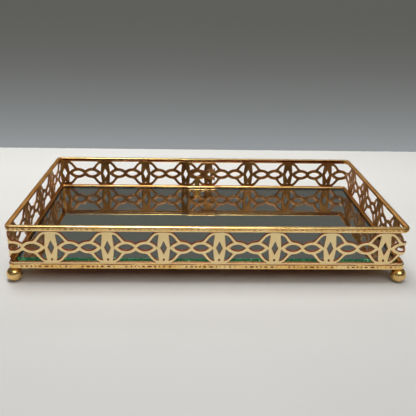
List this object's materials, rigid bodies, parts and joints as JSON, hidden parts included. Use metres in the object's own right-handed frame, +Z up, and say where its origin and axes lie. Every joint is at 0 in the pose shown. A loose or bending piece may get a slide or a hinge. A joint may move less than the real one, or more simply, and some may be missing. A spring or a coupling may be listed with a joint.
{
  "type": "mirrored dresser vanity tray",
  "caption": "Rectangular gold vanity tray with a pierced lattice gallery, a rolled rim, a mirror floor and ball feet.",
  "frame": {"origin": "on the surface that the tray stands on, under the centre of the pan", "axes": "+X along the long side, to the right of someone facing the front; +Y from the front wall to the back wall, which holds the gallery's lap; +Z up"},
  "size_m": [0.3072, 0.1772, 0.0474],
  "materials": {
    "gallery_gold": "satin",
    "rim_gold": "polished",
    "ball_gold": "polished",
    "turned_brass": "turned",
    "mirror_silver": "silvered",
    "glass": "polished, green at the edge",
    "board": "dull, calendered"
  },
  "bodies": {
    "root": {"base_pan": "gallery_gold", "base_board": "board", "mirror_silvering": "mirror_silver", "mirror_glass": "glass", "gallery_front": "gallery_gold", "gallery_left": "gallery_gold", "gallery_right": "gallery_gold", "gallery_back_left": "gallery_gold", "gallery_back_right": "gallery_gold", "top_rim_front": "rim_gold", "top_rim_left": "rim_gold", "top_rim_right": "rim_gold", "top_rim_back": "rim_gold", "seam_bead_left": "rim_gold", "seam_bead_right": "rim_gold", "seam_clip": "turned_brass", "foot_ball_front_left": "ball_gold", "foot_ball_front_right": "ball_gold", "foot_ball_back_right": "ball_gold", "foot_ball_back_left": "ball_gold", "foot_collar_front_left": "ball_gold", "foot_collar_front_right": "ball_gold", "foot_collar_back_right": "ball_gold", "foot_collar_back_left": "ball_gold", "foot_stud_front_left": "turned_brass", "foot_stud_front_right": "turned_brass", "foot_stud_back_right": "turned_brass", "foot_stud_back_left": "turned_brass"}
  },
  "joints": []
}
